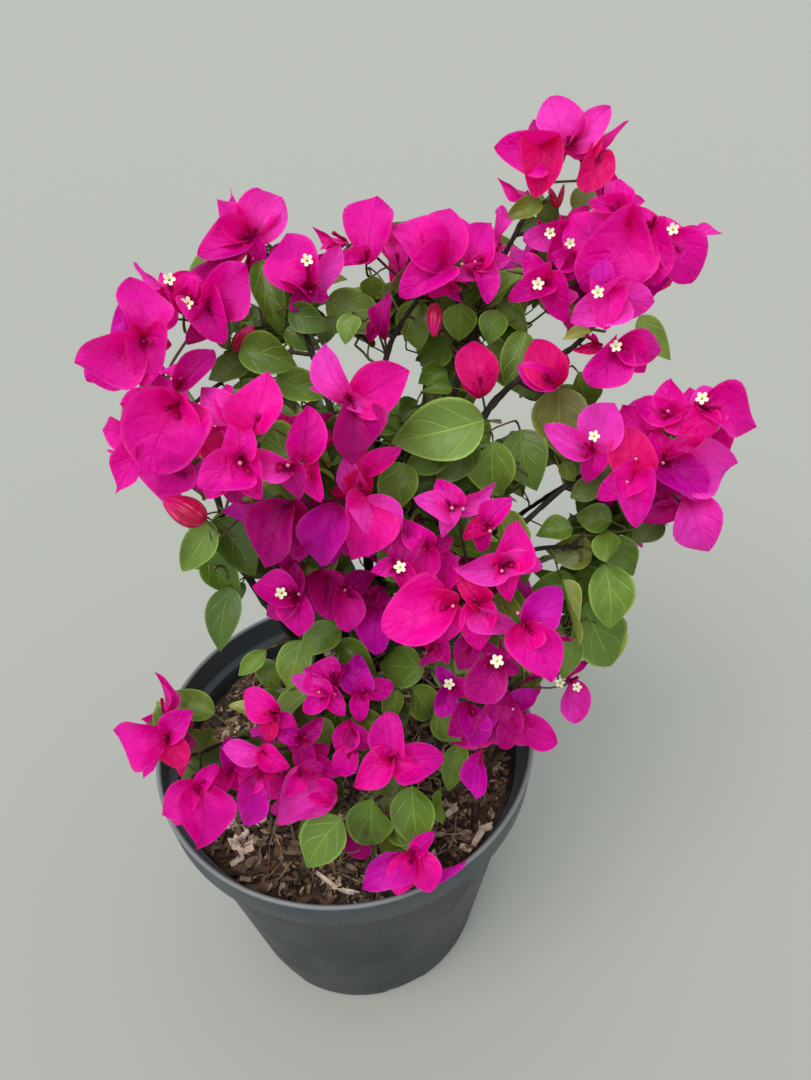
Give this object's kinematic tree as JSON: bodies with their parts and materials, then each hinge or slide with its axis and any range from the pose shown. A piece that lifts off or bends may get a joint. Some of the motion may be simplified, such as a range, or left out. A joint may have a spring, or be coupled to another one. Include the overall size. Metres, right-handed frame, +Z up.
{
  "type": "bougainvillea bush in a pot",
  "caption": "Flowering bougainvillea bush with magenta bracts on fanned woody stems, rooted in bark compost in a tapered plastic nursery pot.",
  "frame": {"origin": "centre of the pot's flat underside", "axes": "+Z up the plant; -Y towards the viewer of the picture; +X to the viewer's right"},
  "size_m": [0.379, 0.3, 0.628],
  "materials": {
    "pot_plastic": "dark grey moulded plastic, a little dusty, with a paler lip",
    "potting_bark": "loose chipped bark and wood over dark compost",
    "bark": "dark grey brown bark, greener on young twigs",
    "bracts": "papery magenta bracts with fine veins",
    "leaves": "mid green leaves with a soft gloss"
  },
  "bodies": {
    "root": {"pot": "pot_plastic", "soil": "potting_bark", "stem": "bark", "bough_back": "bark", "bough_back_left": "bark", "bough_back_low": "bark", "bough_back_right": "bark", "bough_centre": "bark", "bough_front": "bark", "bough_front_left": "bark", "bough_left": "bark", "bough_left_upper": "bark", "bough_low_front": "bark", "bough_low_left": "bark", "bough_right_low": "bark", "bough_right_mid": "bark", "bough_right_upper": "bark", "bough_top": "bark", "blossom_back_left": "bracts", "blossom_back_low": "bracts", "blossom_back_right": "bracts", "blossom_back_upper": "bracts", "blossom_centre_left": "bracts", "blossom_centre_low": "bracts", "blossom_centre_top": "bracts", "blossom_front_foot": "bracts", "blossom_front_left": "bracts", "blossom_front_low": "bracts", "blossom_front_right": "bracts", "blossom_front_top": "bracts", "blossom_left_mid": "bracts", "blossom_left_tip": "bracts", "blossom_left_top": "bracts", "blossom_low_front": "bracts", "blossom_low_left": "bracts", "blossom_lower_left": "bracts", "blossom_right_hanging": "bracts", "blossom_right_inner": "bracts", "blossom_right_tip": "bracts", "blossom_rim_left": "bracts", "blossom_top": "bracts", "blossom_upper_centre": "bracts", "blossom_upper_centre_left": "bracts", "blossom_upper_left": "bracts", "blossom_upper_left_back": "bracts", "blossom_upper_right": "bracts", "blossom_upper_right_back": "bracts", "blossom_upper_right_inner": "bracts", "leaves_back_mid": "leaves", "leaves_centre": "leaves", "leaves_centre_right": "leaves", "leaves_front_foot": "leaves", "leaves_left_low": "leaves", "leaves_left_top": "leaves", "leaves_low_centre": "leaves", "leaves_mid_right": "leaves", "leaves_right_foot": "leaves", "leaves_right_low": "leaves", "leaves_upper": "leaves", "leaves_upper_mid": "leaves"}
  },
  "joints": []
}
